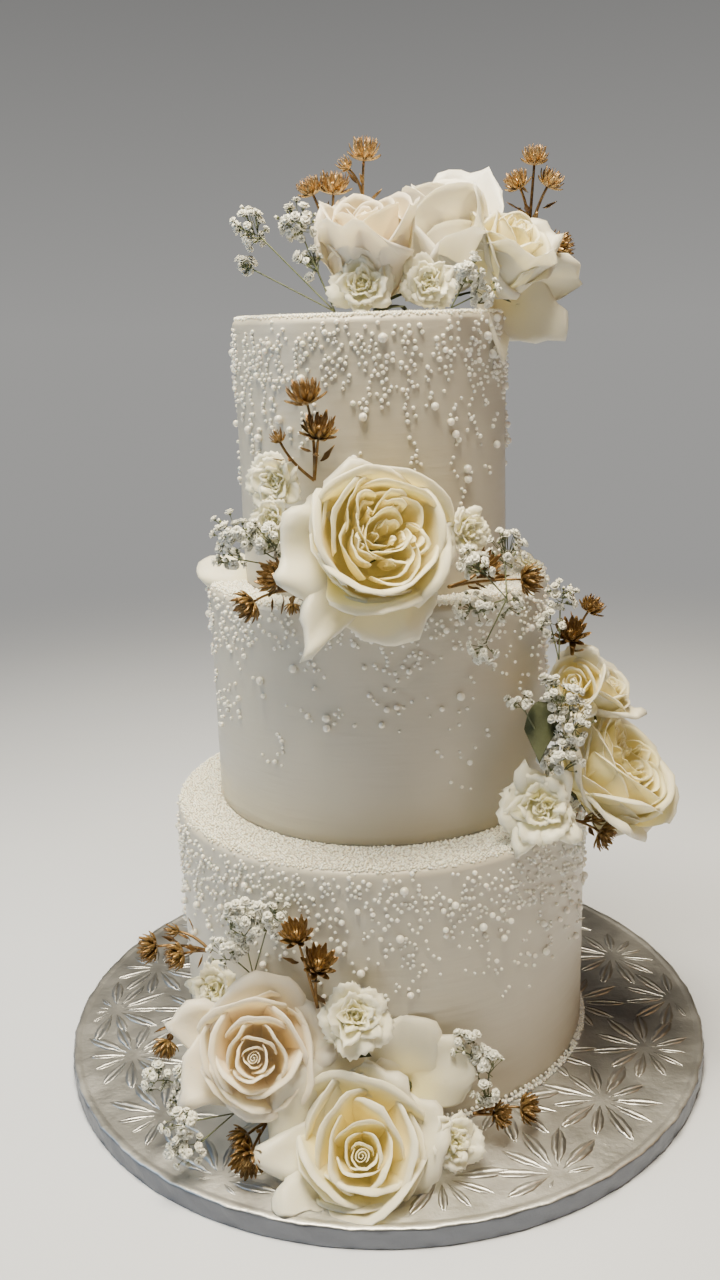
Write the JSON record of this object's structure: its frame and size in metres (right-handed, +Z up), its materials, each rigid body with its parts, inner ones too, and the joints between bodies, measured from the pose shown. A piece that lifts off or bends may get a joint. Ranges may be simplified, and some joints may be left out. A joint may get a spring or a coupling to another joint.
{
  "type": "tiered wedding cake",
  "caption": "Tall round wedding cake in stacked straight-sided tiers, iced smooth with sugar pearls, dressed with roses, tiny sprigs and gilded seed heads, on a round foil-covered board.",
  "frame": {"origin": "centre of the board's underside, which stands on the table", "axes": "+Z up through the tiers, -Y towards the front, +X to the right of a viewer in front"},
  "size_m": [0.4064, 0.4064, 0.5494],
  "materials": {
    "foil": "embossed silver foil over board, glossy and wrinkled at the edge",
    "icing": "smooth off-white icing with a satin sheen, set with glossy sugar pearls; stands in for food",
    "rose_petals": "ivory rose petals, soft and slightly translucent, creamier towards the heart",
    "blush_petals": "blush-peach rose petals, soft and slightly translucent",
    "ruffled_petals": "greenish-white ruffled petals",
    "gilding": "dried seed heads and stems painted antique gold",
    "small_florets": "white florets on thin grey-green stems",
    "leaves": "dark olive leaves with a dull sheen"
  },
  "bodies": {
    "root": {"board": "foil", "tier_bottom": "icing", "tier_middle": "icing", "tier_top": "icing", "rose_middle": "rose_petals", "rose_base_blush": "blush_petals", "rose_base_cream": "rose_petals", "rose_side_large": "rose_petals", "rose_top_blush": "blush_petals", "rose_top_white": "rose_petals", "rose_top_side": "rose_petals", "rose_top_drooping": "rose_petals", "rose_base_back": "rose_petals", "rose_side_small": "rose_petals", "rose_side_back": "rose_petals", "ruffled_top_left": "ruffled_petals", "ruffled_top_right": "ruffled_petals", "ruffled_middle_upper": "ruffled_petals", "ruffled_middle_lower": "ruffled_petals", "ruffled_middle_right": "ruffled_petals", "ruffled_ledge": "ruffled_petals", "ruffled_side": "ruffled_petals", "ruffled_base_upper": "ruffled_petals", "ruffled_base_right": "ruffled_petals", "ruffled_base_left": "ruffled_petals", "petal_ledge": "rose_petals", "gilded_top_left": "gilding", "gilded_top_centre": "gilding", "gilded_top_right": "gilding", "gilded_top_side": "gilding", "gilded_middle_upper": "gilding", "gilded_middle_left": "gilding", "gilded_middle_right": "gilding", "gilded_side_upper": "gilding", "gilded_side_lower": "gilding", "gilded_base_left": "gilding", "gilded_base_upper": "gilding", "gilded_base_far_left": "gilding", "gilded_base_lower": "gilding", "gilded_base_right": "gilding", "breath_top_left": "small_florets", "breath_top_right": "small_florets", "breath_middle_left": "small_florets", "breath_middle_right": "small_florets", "breath_side_upper": "small_florets", "breath_side_column": "small_florets", "breath_base_upper": "small_florets", "breath_base_left": "small_florets", "breath_base_lower": "small_florets", "breath_base_right": "small_florets", "leaf_top": "leaves", "leaf_side": "leaves", "leaf_base": "leaves"}
  },
  "joints": []
}
